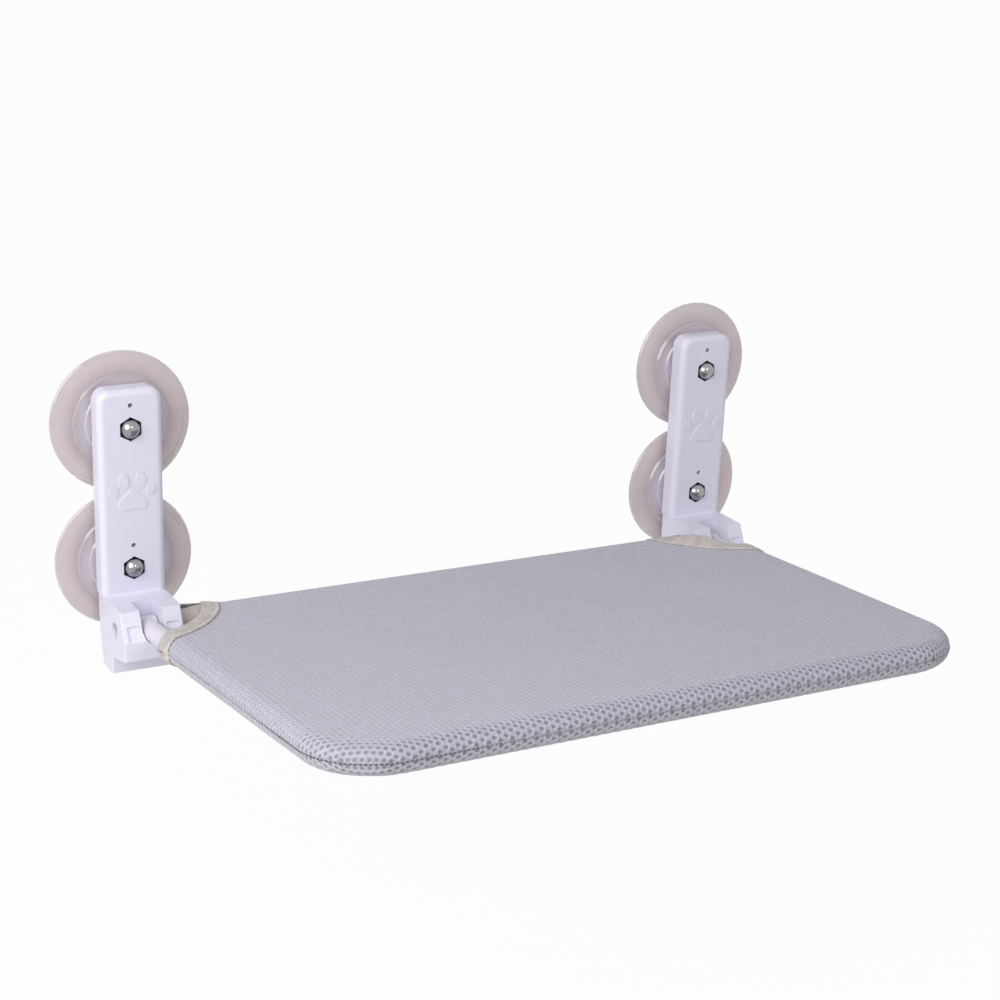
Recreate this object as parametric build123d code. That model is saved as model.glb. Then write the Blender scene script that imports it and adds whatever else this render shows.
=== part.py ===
from build123d import *
import math
import os

# A cat hammock that hangs on a window by four suction cups and folds up against it.
# Millimetres. The origin is the middle of the four cups in the plane of the glass.
# +X is to the right as seen from the room, +Y goes into the glass, +Z is up.

# Layout
bracket_spacing = 420.0  # between the centre planes of the two brackets
arm_reach = 281.0  # from the hinge axis to the axis of the front bar
arm_toe_in = 10.0  # how far each arm leans in over its reach
rest_tilt = 5.2  # degrees, the mat rises towards its front edge
overrun = 2.0  # how far a cutter passes a face

# Suction cup, measured as radius and as height above the glass
cup_radius = 44.5
cup_gap = 1.0  # between the rims of an upper and a lower cup
cup_height = 8.5
cup_lip_width = 3.5
cup_bead_height = 1.7
cup_bead_radius = 0.7
cup_skirt_height = 3.4
cup_skirt_crown = 0.5
cup_step_radius = 30.0
cup_step_width = 1.2
cup_step_height = 5.0
cup_dish_radius = 23.0
cup_dish_height = 6.2
cup_hub_radius = 12.5
cup_hub_edge = 0.6
cup_cavity_edge = 0.8
cup_cavity_depth = 2.0

# Stud moulded into the cup
stud_radius = 4.0
stud_flange_radius = 11.0
stud_flange_thickness = 1.6
stud_flange_height = 3.2
stud_thread_in_nut = 9.5
stud_tip_chamfer = 0.8

# Dome nut
nut_flats = 13.0
nut_hex_height = 6.5
nut_height = 15.0
nut_dome_radius = 6.2
nut_bore_depth = 11.0
nut_thread_clearance = 0.05
nut_corner_chamfer = 0.5
nut_pocket_clearance = 0.25
nut_pocket_depth = 10.5

# Bracket plate
bracket_width = 41.0
bracket_thickness = 13.0
bracket_above_nut = 25.0
bracket_corner_radius = 8.0
bracket_edge_radius = 4.2
bracket_wall = 2.5
bracket_front_wall = 3.0
rib_thickness = 1.8
nut_boss_radius = 10.6
pilot_hole_radius = 1.5
pilot_hole_rise = 15.0
pilot_hole_depth = 7.0
pilot_boss_radius = 3.6
stud_hole_clearance = 0.3

# Fork at the foot of the bracket, measured down from the lower nut and out from the plate
fork_top_drop = 17.0
fork_underside_drop = 52.5
foot_drop = 64.0
fork_inset = 1.0
foot_reach = 11.5
foot_corner_radius = 1.2
foot_back_taper = 7.0
foot_back_step = 3.0
ear_reach_top = 29.5
ear_reach_lip = 38.5
ear_lip_drop = 34.4
ear_bottom_drop = 46.5
ear_edge_radius = 1.0
fork_root_radius = 1.5
fork_core_depth = 17.5
slot_width = 14.4
ear_pocket_width = 8.0
ear_pocket_height = 9.6
ear_pocket_depth = 1.2
ear_pocket_drop = 14.0  # from the ear's top edge, down its leaning front
ear_pocket_offset = 12.6

# Hinge
hinge_drop = 32.0
hinge_reach = 19.0
pin_radius = 3.0
pin_running_clearance = 0.05
pin_press_clearance = 0.02
pin_head_radius = 3.9
pin_head_height = 2.5
pin_recess_radius = 5.0
pin_recess_depth = 4.2
pin_grip_in_bar = 15.0
pin_tip_chamfer = 0.6
washer_thickness = 1.0
washer_radius = 6.0
washer_gap = 0.15

# Tubes and the plugs in their ends
tube_radius = 6.35
tube_wall = 1.0
bend_radius = 36.0
tube_start = 7.0  # the arm tube begins this far in front of the hinge axis
plug_eye_radius = 6.2
plug_eye_width = 13.6
plug_eye_chamfer = 0.5
plug_spigot_length = 22.0
plug_spigot_clearance = 0.05
insert_flange = 2.5
insert_spigot_length = 22.0
eye_clearance = 0.6
stop_clearance = 0.3

# Mesh cover, a pillowcase over the tubes
cover_clearance = 0.35
mesh_thickness = 2.2
seam_width = 1.6
seam_sink = 0.5
corner_cut_bar_gap = 28.5  # from the inner ear to where the corner cut meets the rear bar
corner_cut_arm = 67.0  # where it meets the arm, in front of the hinge axis
corner_cut_bow = 10.5
binding_width = 11.0
tail_length = 34.0
strip_thickness = 0.8
strip_width = 20.0
strip_start = 10.0

# Raised paw print between the nuts
paw_height = 0.6
paw_pad_width = 18.0
paw_pad_height = 13.5
paw_lobe_radius = 3.6
paw_tip_radius = 2.4
paw_hollow_radius = 10.0
paw_hollow_depth = 1.2
inner_toe = (3.1, 4.6)
outer_toe = (2.7, 3.8)
inner_toe_place = (5.4, 12.4)
outer_toe_place = (12.0, 6.2)
outer_toe_lean = 20.0

# Places that follow from the sizes above
cup_spacing = cup_radius * 2 + cup_gap
plate_back = -cup_height
plate_face = plate_back - bracket_thickness
upper_nut = cup_spacing / 2
lower_nut = -cup_spacing / 2
pocket_floor = plate_face + nut_pocket_depth
hinge_y = plate_face - hinge_reach
hinge_z = lower_nut - hinge_drop
plate_top = upper_nut + bracket_above_nut
fork_top = lower_nut - fork_top_drop
fork_underside = lower_nut - fork_underside_drop
ear_front = plate_face - ear_reach_top
ear_lip = plate_face - ear_reach_lip
ear_lip_top = lower_nut - ear_lip_drop
ear_bottom = lower_nut - ear_bottom_drop
foot_bottom = lower_nut - foot_drop
foot_face = plate_face - foot_reach
ear_inner_face = bracket_spacing / 2 - bracket_width / 2 + fork_inset
slot_radius = slot_width / 2
fork_width = bracket_width - fork_inset * 2
corner_cut_bar = fork_width / 2 + corner_cut_bar_gap
bar_end = ear_inner_face - washer_thickness - washer_gap * 2 - insert_flange
tube_bore = tube_radius - tube_wall
cover_inside = tube_radius + cover_clearance
cover_outside = cover_inside + mesh_thickness
arm_lean = math.degrees(math.atan2(arm_toe_in, arm_reach))
sides = {"left": -1, "right": 1}
mat_frame = Location((0, hinge_y, hinge_z), (-rest_tilt, 0, 0))


def along_y(radius, y_from, y_to, x=0, z=0):
    """A cylinder parallel to Y between two planes."""
    length = abs(y_to - y_from)
    return Pos(x, (y_from + y_to) / 2, z) * Rot(90, 0, 0) * Cylinder(radius, length)


def along_x(radius, x_from, x_to, y=0, z=0):
    """A cylinder parallel to X between two planes."""
    length = abs(x_to - x_from)
    return Pos((x_from + x_to) / 2, y, z) * Rot(0, 90, 0) * Cylinder(radius, length)


def block(x_from, x_to, y_from, y_to, z_from, z_to):
    """A box between three pairs of planes."""
    size = Box(abs(x_to - x_from), abs(y_to - y_from), abs(z_to - z_from))
    return Pos((x_from + x_to) / 2, (y_from + y_to) / 2, (z_from + z_to) / 2) * size


def side_profile(points, width):
    """A solid of one width across X from its outline in Y and Z."""
    face = make_face(Polyline(*[(0, y, z) for y, z in points], close=True))
    return extrude(face, amount=width / 2, dir=(1, 0, 0), both=True)


def hexagon(flats, y_from, y_to, z=0):
    """A hexagonal prism parallel to Y that stands on a corner."""
    face = Plane.XZ * RegularPolygon(flats / 2, 6, major_radius=False, rotation=30)
    return Pos(0, y_from, z) * extrude(face, amount=y_from - y_to)


# Suction cups, studs and nuts


def cup_profile():
    """Half section of a cup, radius along X and height above the glass along -Y."""
    lip_inner = cup_radius - cup_lip_width
    skirt_middle = (cup_radius + cup_step_radius) / 2
    skirt_crown = (cup_bead_height + cup_skirt_height) / 2 + cup_skirt_crown
    skirt_top = cup_step_radius + cup_step_width
    bead_inner = cup_radius - cup_bead_radius
    face_points = [
        (0, -cup_cavity_depth),
        (0, -cup_height),
        (cup_hub_radius - cup_hub_edge, -cup_height),
        (cup_hub_radius, cup_hub_edge - cup_height),
        (cup_hub_radius, -cup_dish_height),
        (cup_dish_radius, -cup_dish_height),
        (cup_dish_radius + cup_step_width, -cup_step_height),
        (cup_step_radius, -cup_step_height),
        (skirt_top, -cup_skirt_height),
    ]
    rim_points = [
        (bead_inner, -cup_bead_height),
        (cup_radius, cup_bead_radius - cup_bead_height),
        (cup_radius, 0),
        (lip_inner, 0),
        (lip_inner - cup_cavity_edge, -cup_cavity_edge),
        (0, -cup_cavity_depth),
    ]
    skirt = ThreePointArc(face_points[-1], (skirt_middle, -skirt_crown), rim_points[0])
    return make_face(Wire([*Polyline(*face_points).edges(), skirt, *Polyline(*rim_points).edges()]))


def suction_cup():
    """Soft cup with a lip bead, a crowned skirt, two rings and the hub round its stud."""
    body = revolve(cup_profile(), Axis.Y)
    flange_top = -stud_flange_height - stud_flange_thickness
    body -= along_y(stud_flange_radius, -stud_flange_height, flange_top)
    return body - along_y(stud_radius, -stud_flange_height, -cup_height - overrun)


def cup_stud():
    """Threaded stud with the flange that the cup is moulded round."""
    tip = pocket_floor - stud_thread_in_nut
    flange = along_y(stud_flange_radius, -stud_flange_height, -stud_flange_height - stud_flange_thickness)
    shank = along_y(stud_radius, -stud_flange_height, tip)
    end_edge = shank.edges().filter_by(GeomType.CIRCLE).sort_by(Axis.Y)[0]
    return flange + chamfer(end_edge, stud_tip_chamfer)


def dome_nut():
    """Hexagon nut closed by a dome, with its blind bore."""
    front = pocket_floor - nut_height
    collar = pocket_floor - nut_hex_height
    dome_centre = front + nut_dome_radius
    corner = nut_flats / math.sqrt(3)
    cap = along_y(corner, pocket_floor, collar)
    front_rim = cap.edges().filter_by(GeomType.CIRCLE).sort_by(Axis.Y)[0]
    cap = chamfer(front_rim, nut_corner_chamfer)
    body = hexagon(nut_flats, pocket_floor, collar) & cap
    body += along_y(nut_dome_radius, collar, dome_centre)
    body += Pos(0, dome_centre, 0) * Sphere(nut_dome_radius)
    return body - along_y(stud_radius + nut_thread_clearance, pocket_floor, pocket_floor - nut_bore_depth)


# Brackets


def paw_print():
    """A raised paw of one pad and four toes, a little sunk so that it fuses."""
    lobe_x = paw_pad_width / 2 - paw_lobe_radius
    low, high = -paw_pad_height / 2, paw_pad_height / 2
    lobe_z = low + paw_lobe_radius
    rims = [(Pos(side * lobe_x, lobe_z) * Circle(paw_lobe_radius)).edge() for side in sides.values()]
    rims.append((Pos(0, high - paw_tip_radius) * Circle(paw_tip_radius)).edge())
    hollow_z = low + paw_hollow_depth - paw_hollow_radius
    shape = Sketch() + make_hull(rims) - Pos(0, hollow_z) * Circle(paw_hollow_radius)
    for side in sides.values():
        shape += Pos(side * inner_toe_place[0], inner_toe_place[1]) * Ellipse(*inner_toe)
        lean = Rot(0, 0, -side * outer_toe_lean)
        shape += Pos(side * outer_toe_place[0], outer_toe_place[1]) * lean * Ellipse(*outer_toe)
    face = Plane.XZ.offset(-plate_face - paw_height) * shape
    return extrude(face, amount=paw_height * 2)


def plate():
    """The upright plate with round top corners and softened front edges."""
    middle = (plate_top + fork_top) / 2
    height = plate_top - fork_top
    outline = RectangleRounded(bracket_width, height, bracket_corner_radius)
    square_foot = Pos(0, -height / 4) * Rectangle(bracket_width, height / 2)
    face = Plane.XZ.offset(-plate_back) * Pos(0, middle) * (outline + square_foot)
    body = extrude(face, amount=bracket_thickness)
    front_edges = body.faces().sort_by(Axis.Y)[0].edges().sort_by(Axis.Z)
    return fillet(front_edges[1:], bracket_edge_radius)


def fork_block():
    """Foot and ears in one block, before the slot is cut between the ears."""
    body = side_profile(
        [
            (plate_back, fork_top),
            (ear_front, fork_top),
            (ear_lip, ear_lip_top),
            (ear_lip, ear_bottom),
            (foot_face, fork_underside),
            (foot_face, foot_bottom),
            (plate_back - foot_back_taper, foot_bottom),
            (plate_back - foot_back_step, fork_underside),
            (plate_back, hinge_z),
        ],
        fork_width,
    )
    upright = body.edges().filter_by(Axis.Z)
    foot_edges = upright.filter_by_position(Axis.Y, foot_face, foot_face)
    body = fillet(foot_edges, foot_corner_radius)
    lip, lean = body.faces().sort_by(Axis.Y)[:2]
    outline = lip.edges() + [e for e in lean.edges() if not any(e.is_same(o) for o in lip.edges())]
    return fillet(outline, ear_edge_radius)


def ear_pocket():
    """Shallow recess in the leaning front of an ear, square to that front."""
    lean = math.degrees(math.atan2(ear_front - ear_lip, fork_top - ear_lip_top))
    half_width = ear_pocket_width / 2
    low = -ear_pocket_drop - ear_pocket_height / 2
    recess = block(-half_width, half_width, -overrun, ear_pocket_depth, low, low + ear_pocket_height)
    return Pos(0, ear_front, fork_top) * Rot(-lean, 0, 0) * recess


def fork_root():
    """The hollow rounding between the plate and the top of the fork."""
    corner = (0, plate_face, fork_top)
    up = (0, plate_face, fork_top + fork_root_radius)
    out = (0, plate_face - fork_root_radius, fork_top)
    bow = fork_root_radius * (1 - math.sqrt(0.5))
    arc = ThreePointArc(up, (0, plate_face - bow, fork_top + bow), out)
    face = make_face(Wire([Line(corner, up), arc, Line(out, corner)]))
    flat = bracket_width / 2 - bracket_edge_radius
    return extrude(face, amount=flat, dir=(1, 0, 0), both=True)


def hinge_slot(side):
    """Room between the ears for the arm from rest to folded, with a round seat along its rest."""
    seat_drop = tube_radius + stop_clearance
    seat_rise = slot_radius - seat_drop
    rear = plug_eye_radius + eye_clearance
    front = hinge_y - ear_lip + overrun
    top = fork_top - hinge_z + overrun
    run = math.tan(math.radians(rest_tilt))
    wedge = side_profile(
        [(rear, 0), (rear, top), (-front, top), (-front, seat_rise + front * run), (0, seat_rise)],
        slot_width,
    )
    seat = Rot(-rest_tilt, 0, 0) * Rot(0, 0, -side * arm_lean) * along_y(slot_radius, 0, -front, z=seat_rise)
    round_back = along_x(rear, -slot_radius, slot_radius)
    return Pos(0, hinge_y, hinge_z) * (wedge + seat + round_back)


def rib_cells():
    """The open cells behind the plate, left between its walls, ribs and bosses."""
    inner = bracket_width / 2 - bracket_wall
    front = plate_face + bracket_front_wall
    back = plate_back + overrun
    shallow_bottom = fork_top
    corner = bracket_corner_radius - bracket_wall
    top = plate_top - bracket_wall
    height = top - shallow_bottom
    outline = RectangleRounded(inner * 2, height, corner)
    outline += Pos(0, -height / 4) * Rectangle(inner * 2, height / 2)
    face = Plane.XZ.offset(-back) * Pos(0, (top + shallow_bottom) / 2) * outline
    cells = extrude(face, amount=back - front)
    deep = plate_back - fork_core_depth
    cells += block(-inner, inner, deep, back, foot_bottom + bracket_wall, shallow_bottom - rib_thickness)
    half = rib_thickness / 2
    cells -= block(-half, half, deep, back, foot_bottom, plate_top)
    pitch = cup_spacing / 4
    for step in (-1, 0, 1):
        cells -= block(-inner, inner, deep, back, step * pitch - half, step * pitch + half)
    middle = (foot_bottom + fork_top) / 2
    cells -= block(-inner, inner, deep, back, middle - half, middle + half)
    for z in (upper_nut, lower_nut):
        cells -= along_y(nut_boss_radius, front, back, z=z)
        cells -= block(-inner, inner, deep, back, z - half, z + half)
        cells -= along_y(pilot_boss_radius, front, back, z=z + pilot_hole_rise)
    return cells


def bracket(side):
    """One bracket moulding. side is -1 for the left one and 1 for the right one."""
    body = plate() + fork_block() + fork_root()
    body -= hinge_slot(side)
    body -= rib_cells()
    pocket_flats = nut_flats + nut_pocket_clearance * 2
    for z in (upper_nut, lower_nut):
        body -= hexagon(pocket_flats, pocket_floor, plate_face - overrun, z)
        body -= along_y(stud_radius + stud_hole_clearance, plate_back + overrun, pocket_floor - overrun, z=z)
        pilot_end = plate_face + pilot_hole_depth
        body -= along_y(pilot_hole_radius, plate_face - overrun, pilot_end, z=z + pilot_hole_rise)
    for ear in sides.values():
        body -= Pos(ear * ear_pocket_offset, 0, 0) * ear_pocket()
    half = fork_width / 2
    bore = pin_radius + pin_running_clearance
    body -= along_x(bore, -half - overrun, half + overrun, hinge_y, hinge_z)
    recess_from = side * (half - pin_recess_depth)
    body -= along_x(pin_recess_radius, recess_from, side * (half + overrun), hinge_y, hinge_z)
    body += paw_print()
    return Pos(side * bracket_spacing / 2, 0, 0) * body


# Hinge pins, plugs and bars. These are drawn in the mat's own frame, whose origin is on
# the hinge axis, with -Y along the arms and +Z up through the mat.


def hinge_pin(side):
    """Pin with a low head, from the outer ear through the arm plug into the rear bar."""
    head_seat = bracket_spacing / 2 + fork_width / 2 - pin_recess_depth
    tip = bar_end + insert_flange - pin_grip_in_bar
    shank = along_x(pin_radius, side * tip, side * head_seat)
    ends = shank.edges().filter_by(GeomType.CIRCLE).sort_by(Axis.X)
    shank = chamfer(ends[-1 if side < 0 else 0], pin_tip_chamfer)
    return shank + along_x(pin_head_radius, side * head_seat, side * (head_seat + pin_head_height))


def arm_place(side):
    """The frame of an arm tube at the hinge axis, with -Y along the tube."""
    return Location((side * bracket_spacing / 2, 0, 0), (0, 0, -side * arm_lean))


def arm_plug(side):
    """Plug in the rear end of an arm tube, with the eye that turns on the hinge pin."""
    eye = along_x(plug_eye_radius, -plug_eye_width / 2, plug_eye_width / 2)
    eye = chamfer(eye.edges().filter_by(GeomType.CIRCLE), plug_eye_chamfer)
    eye = Pos(side * bracket_spacing / 2, 0, 0) * eye
    neck = along_y(plug_eye_radius, 0, -tube_start)
    spigot = along_y(tube_bore - plug_spigot_clearance, -tube_start, -tube_start - plug_spigot_length)
    body = eye + arm_place(side) * (neck + spigot)
    centre = side * bracket_spacing / 2
    reach = bracket_width / 2
    return body - along_x(pin_radius + pin_press_clearance, centre - reach, centre + reach)


def rear_bar():
    """Straight tube on the hinge axis between the two brackets."""
    outer = along_x(tube_radius, -bar_end, bar_end)
    return outer - along_x(tube_bore, -bar_end - overrun, bar_end + overrun)


def bar_insert(side):
    """Flanged plug in the end of the rear bar, bored for the hinge pin."""
    spigot_end = bar_end - insert_spigot_length
    flange_face = bar_end + insert_flange
    bore_end = flange_face - pin_grip_in_bar - overrun
    spigot = along_x(tube_bore - plug_spigot_clearance, side * spigot_end, side * bar_end)
    flange = along_x(tube_radius, side * bar_end, side * flange_face)
    bore = along_x(pin_radius + pin_press_clearance, side * bore_end, side * (flange_face + overrun))
    return spigot + flange - bore


def thrust_washers():
    """The two washers between the inner ears and the rear bar."""
    inner = bar_end + insert_flange + washer_gap
    outer = inner + washer_thickness
    group = []
    for side in sides.values():
        ring = along_x(washer_radius, side * inner, side * outer)
        bore = pin_radius + pin_running_clearance
        hole = along_x(bore, side * (inner - overrun), side * (outer + overrun))
        group.append(ring - hole)
    return Compound(group)


def arm_line(start):
    """Centre line of the bent tube, from one arm round the front bar to the other arm."""
    front_x = bracket_spacing / 2 - arm_toe_in
    start_x = bracket_spacing / 2 - arm_toe_in * start / arm_reach
    corners = [(-start_x, -start), (-front_x, -arm_reach), (front_x, -arm_reach), (start_x, -start)]
    return FilletPolyline(*corners, radius=bend_radius)


def swept_tube(radius, start):
    """A round bar of one radius along the arms and the front bar."""
    line = arm_line(start)
    section = Plane(origin=line @ 0, z_dir=line % 0) * Circle(radius)
    return sweep(section, path=line)


def frame_tube():
    """The bent tube that carries the mat."""
    return swept_tube(tube_radius, tube_start) - swept_tube(tube_bore, tube_start)


# Mesh cover


def pillow(radius):
    """Everything within one radius of the arms, the front bar and the sheet between them."""
    line = arm_line(0)
    sheet = make_face(Wire(line.edges() + [Line(line @ 1, line @ 0)]))
    return swept_tube(radius, 0) + extrude(sheet, amount=radius, both=True)


def mat_slab(z_from, z_to):
    """A slab larger than the mat between two levels."""
    wide = bracket_spacing / 2 + cover_outside + overrun
    return block(-wide, wide, overrun, -arm_reach - cover_outside - overrun * 2, z_from, z_to)


def corner_cut(side, shift):
    """Prism over a rear corner, bounded by the bowed cut. shift moves it to the corner."""
    at_bar = Vector(corner_cut_bar, 0)
    at_arm = Vector(-cover_outside, -corner_cut_arm)
    chord = (at_arm - at_bar).normalized()
    inward = Vector(-chord.Y, chord.X)
    if inward.X < 0:
        inward = inward * -1
    middle = (at_bar + at_arm) / 2 + inward * corner_cut_bow
    arc = ThreePointArc(at_bar, middle, at_arm)
    rear = at_bar - (arc % 0) * corner_cut_bar
    outer = at_arm + (arc % 1) * corner_cut_bar
    far = Vector(outer.X, rear.Y)
    face = make_face(Wire([Line(rear, at_bar), arc, Line(at_arm, outer), Line(outer, far), Line(far, rear)]))
    face = Pos(*(inward * -shift)) * face
    prism = extrude(face, amount=bracket_width, both=True)
    placed = Pos(-bracket_spacing / 2, 0, 0) * prism
    return placed if side < 0 else mirror(placed, about=Plane.YZ)


def tail_profile():
    """The top panel round the rear bar and forward under the mat, as an outline in Y and Z."""
    drop = mesh_thickness + strip_thickness * 2
    inner = cover_inside + drop / 2
    outer = inner + mesh_thickness
    level = -drop / 2
    lines = [
        Line((0, 0, level + outer), (0, 0, level + inner)),
        ThreePointArc((0, 0, level + inner), (0, inner, level), (0, 0, level - inner)),
        Line((0, 0, level - inner), (0, -tail_length, level - inner)),
        Line((0, -tail_length, level - inner), (0, -tail_length, level - outer)),
        Line((0, -tail_length, level - outer), (0, 0, level - outer)),
        ThreePointArc((0, 0, level - outer), (0, outer, level), (0, 0, level + outer)),
    ]
    return make_face(Wire(lines))


def top_shell():
    """Top panel before its corners are cut, with the tail that wraps the rear bar."""
    shell = pillow(cover_outside) - pillow(cover_inside)
    shell &= mat_slab(seam_width / 2, cover_outside + overrun)
    wide = bracket_spacing / 2
    return shell + extrude(tail_profile(), amount=wide, dir=(1, 0, 0), both=True)


def bottom_shell():
    """Bottom panel before its corners are cut. It ends just in front of the rear bar's axis."""
    shell = pillow(cover_outside) - pillow(cover_inside)
    return shell & mat_slab(-cover_outside - overrun, -seam_width / 2)


def without_corners(body):
    """A panel with both rear corners cut away."""
    return body - corner_cut(-1, 0) - corner_cut(1, 0)


def corner_band(body, side):
    """The strip of a shell along one corner cut, where the binding is."""
    return (body & corner_cut(side, 0)) - corner_cut(side, binding_width)


def seam_binding():
    """Narrow tape in the groove round the outside, where the two panels are sewn together."""
    ring = pillow(cover_outside - seam_sink) - pillow(cover_inside)
    return without_corners(ring & mat_slab(-seam_width / 2, seam_width / 2))


def closure_strip(layer):
    """One of the two touch-fastener strips between the tail and the bottom panel."""
    top = -cover_outside - strip_thickness * layer
    half = bracket_spacing / 2 - corner_cut_bar - binding_width
    return block(-half, half, -strip_start, -strip_start - strip_width, top - strip_thickness, top)


def solids_of(shape):
    """A plain shape for the file, one solid or a group of solids."""
    found = shape.solids()
    return found[0] if len(found) == 1 else Compound(found)


def build_parts():
    """Every sub-part by name, in the part's own frame."""
    parts = {}
    cup = suction_cup()
    stud = cup_stud()
    nut = dome_nut()
    levels = {"upper": upper_nut, "lower": lower_nut}
    for name, side in sides.items():
        parts[f"bracket_{name}"] = bracket(side)
        centre = side * bracket_spacing / 2
        for level, z in levels.items():
            parts[f"suction_cup_{level}_{name}"] = Pos(centre, 0, z) * cup
        parts[f"cup_studs_{name}"] = Compound([Pos(centre, 0, z) * stud for z in levels.values()])
        parts[f"dome_nuts_{name}"] = Compound([Pos(centre, 0, z) * nut for z in levels.values()])
        parts[f"hinge_pin_{name}"] = mat_frame * hinge_pin(side)
        parts[f"arm_plug_{name}"] = mat_frame * arm_plug(side)
        parts[f"rear_bar_insert_{name}"] = mat_frame * bar_insert(side)
    parts["thrust_washers"] = mat_frame * thrust_washers()
    parts["rear_bar"] = mat_frame * rear_bar()
    parts["frame_tube"] = mat_frame * frame_tube()
    top = top_shell()
    bottom = bottom_shell()
    parts["cover_top_panel"] = mat_frame * without_corners(top)
    parts["cover_bottom_panel"] = mat_frame * without_corners(bottom)
    for name, side in sides.items():
        parts[f"corner_binding_top_{name}"] = mat_frame * corner_band(top, side)
        parts[f"corner_binding_bottom_{name}"] = mat_frame * corner_band(bottom, side)
    parts["edge_seam_tape"] = mat_frame * seam_binding()
    parts["closure_loop_strip"] = mat_frame * closure_strip(0)
    parts["closure_hook_strip"] = mat_frame * closure_strip(1)
    return parts


os.makedirs("parts", exist_ok=True)
for node, shape in build_parts().items():
    export_step(solids_of(shape), f"parts/{node}.step")
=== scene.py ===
import math

import bmesh
import bpy
import numpy as np
from mathutils import Matrix, Vector


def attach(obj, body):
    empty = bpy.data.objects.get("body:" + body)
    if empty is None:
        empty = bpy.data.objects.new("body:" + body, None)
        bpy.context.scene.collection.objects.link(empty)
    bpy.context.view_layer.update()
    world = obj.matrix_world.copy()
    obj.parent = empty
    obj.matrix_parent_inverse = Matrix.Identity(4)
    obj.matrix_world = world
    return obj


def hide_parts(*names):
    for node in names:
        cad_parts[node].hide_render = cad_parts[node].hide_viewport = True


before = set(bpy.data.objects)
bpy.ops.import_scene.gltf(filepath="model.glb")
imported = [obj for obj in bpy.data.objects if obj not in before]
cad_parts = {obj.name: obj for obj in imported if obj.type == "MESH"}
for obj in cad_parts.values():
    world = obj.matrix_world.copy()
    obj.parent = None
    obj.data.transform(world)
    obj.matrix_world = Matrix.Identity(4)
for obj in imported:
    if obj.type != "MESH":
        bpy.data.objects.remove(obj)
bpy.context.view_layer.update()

# Sizes of the mat in millimetres. They are those of the part's source, apart from the reach and
# bow of the corner cut, the wrap and the gap at the seam, which are this script's own. The mat's
# own frame has its origin on the hinge axis, X along the rear bar, Y towards the window and Z up
# from the cloth.

HINGE = (0.0, -40.5, -77.0)
TILT = math.radians(5.2)  # rise of the mat towards its front edge
ARM_X = 210.0  # middle of an arm at the hinge axis
ARM_REACH = 281.0  # from the hinge axis to the middle of the front bar
TOE_IN = 10.0  # what an arm leans in over its reach
BEND = 36.0  # middle line of a front corner
NET_R = 8.9  # outside of the cover round the tube
NET_T = 2.2  # thickness of the mesh
WRAP_R = 10.8  # outside of the cover round the rear bar
WRAP_Z = -1.9  # middle of that wrap, over the hinge axis
WRAP_LENGTH = math.pi * WRAP_R
TAIL = 34.0  # what the top panel goes on below the rear bar
CUT_BAR = 48.0  # corner cut at the rear bar, from the middle of the arm
CUT_ARM = 63.0  # corner cut at the arm, from the hinge axis
CUT_BOW = 11.0  # what the cut bows from a straight line
BAND = 11.0  # width of the bindings
STRIP_T = 0.8  # thickness of the strips of the touch fastener
STRIP_START = 10.0  # their rear edge, from the hinge axis
STRIP_WIDTH = 20.0
SEAM_HALF = 0.22  # half the gap between the panels at the seam
SEAM_D = NET_R * math.acos(SEAM_HALF / NET_R)

# Holes of the mesh: pitch along X, and pitch of the staggered rows. A hole's half width and half
# height, the drop of its rim below the ribs and its depth, where the cloth is flat and where it is
# bent round a tube
CELL_X = 7.05
CELL_ROW = 2.03
FLAT_HOLE = (1.75, 0.7, 0.2, 1.0)
BENT_HOLE = (1.55, 1.05, 0.84, 1.9)
HOLE_RIM = np.array([(1, 0), (0.55, 1), (-0.55, 1), (-1, 0), (-0.55, -1), (0.55, -1)])  # shares
OPENS_FROM, OPENS_OVER = -5.0, 7.0  # where holes start to open, from the middle of the tube
ARM_SHARE = 0.3  # how far the holes over the arms open
BAR_SLOPE = 1.5  # how fast the opening grows round a corner, from the arm to the bar
OPEN_LOOK = 0.36  # share of the opening from which a hole takes the darker painted shade

# The cells are made this far, in millimetres and in columns, and then cut to the panel, within
# margins at the seam, at the corner cut and at the ends
CELLS_FRONT, CELLS_REAR, CELLS_EACH_SIDE = 320, 90, 34
PANEL_HALF_WIDTH = 240
EDGE_CELLS = 3.2  # depth of the cells that are drawn out to the seam
SEAM_MARGIN = 0.6
CUT_MARGIN = 2.2
END_MARGIN = 3.0

# Sag of the panels, and the slow unevenness of the cloth, which dies out towards the tubes
TOP_SAG = 3.0
BOTTOM_SAG = 1.2
WIDE_RIPPLE, SMALL_RIPPLE = 0.28, 0.16
CALM_EDGE, CALM_REAR = 30.0, 40.0

# The cloth is pressed together and drawn in over the rear bar: by how much, what is left of its
# thickness, and where along the cloth this comes and goes
PRESS = 0.95
PRESSED_SHARE = 0.64
PRESS_LEAD, PRESS_RISE, PRESS_FALL = 4.0, 30.0, 20.0

# How far round the roll the bindings may go past the seam, and anything else
BINDING_PAST_SEAM = 1.1
CLOTH_PAST_SEAM = 1.2


# Cover: from flat cloth to its place


def corner_data():
    """Centre of a front corner's bend, and the unit directions along and out of the arm."""
    knee = np.array([ARM_X - TOE_IN, -ARM_REACH])
    along = np.array([-TOE_IN, -ARM_REACH]) / math.hypot(TOE_IN, ARM_REACH)
    out = np.array([-along[1], along[0]])
    bisector = np.array([-1.0, 0.0]) - along
    bisector /= np.linalg.norm(bisector)
    half = math.acos(float(bisector @ -along))
    return knee + bisector * BEND / math.sin(half), along, out


CENTRE, ALONG, OUT = corner_data()


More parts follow.
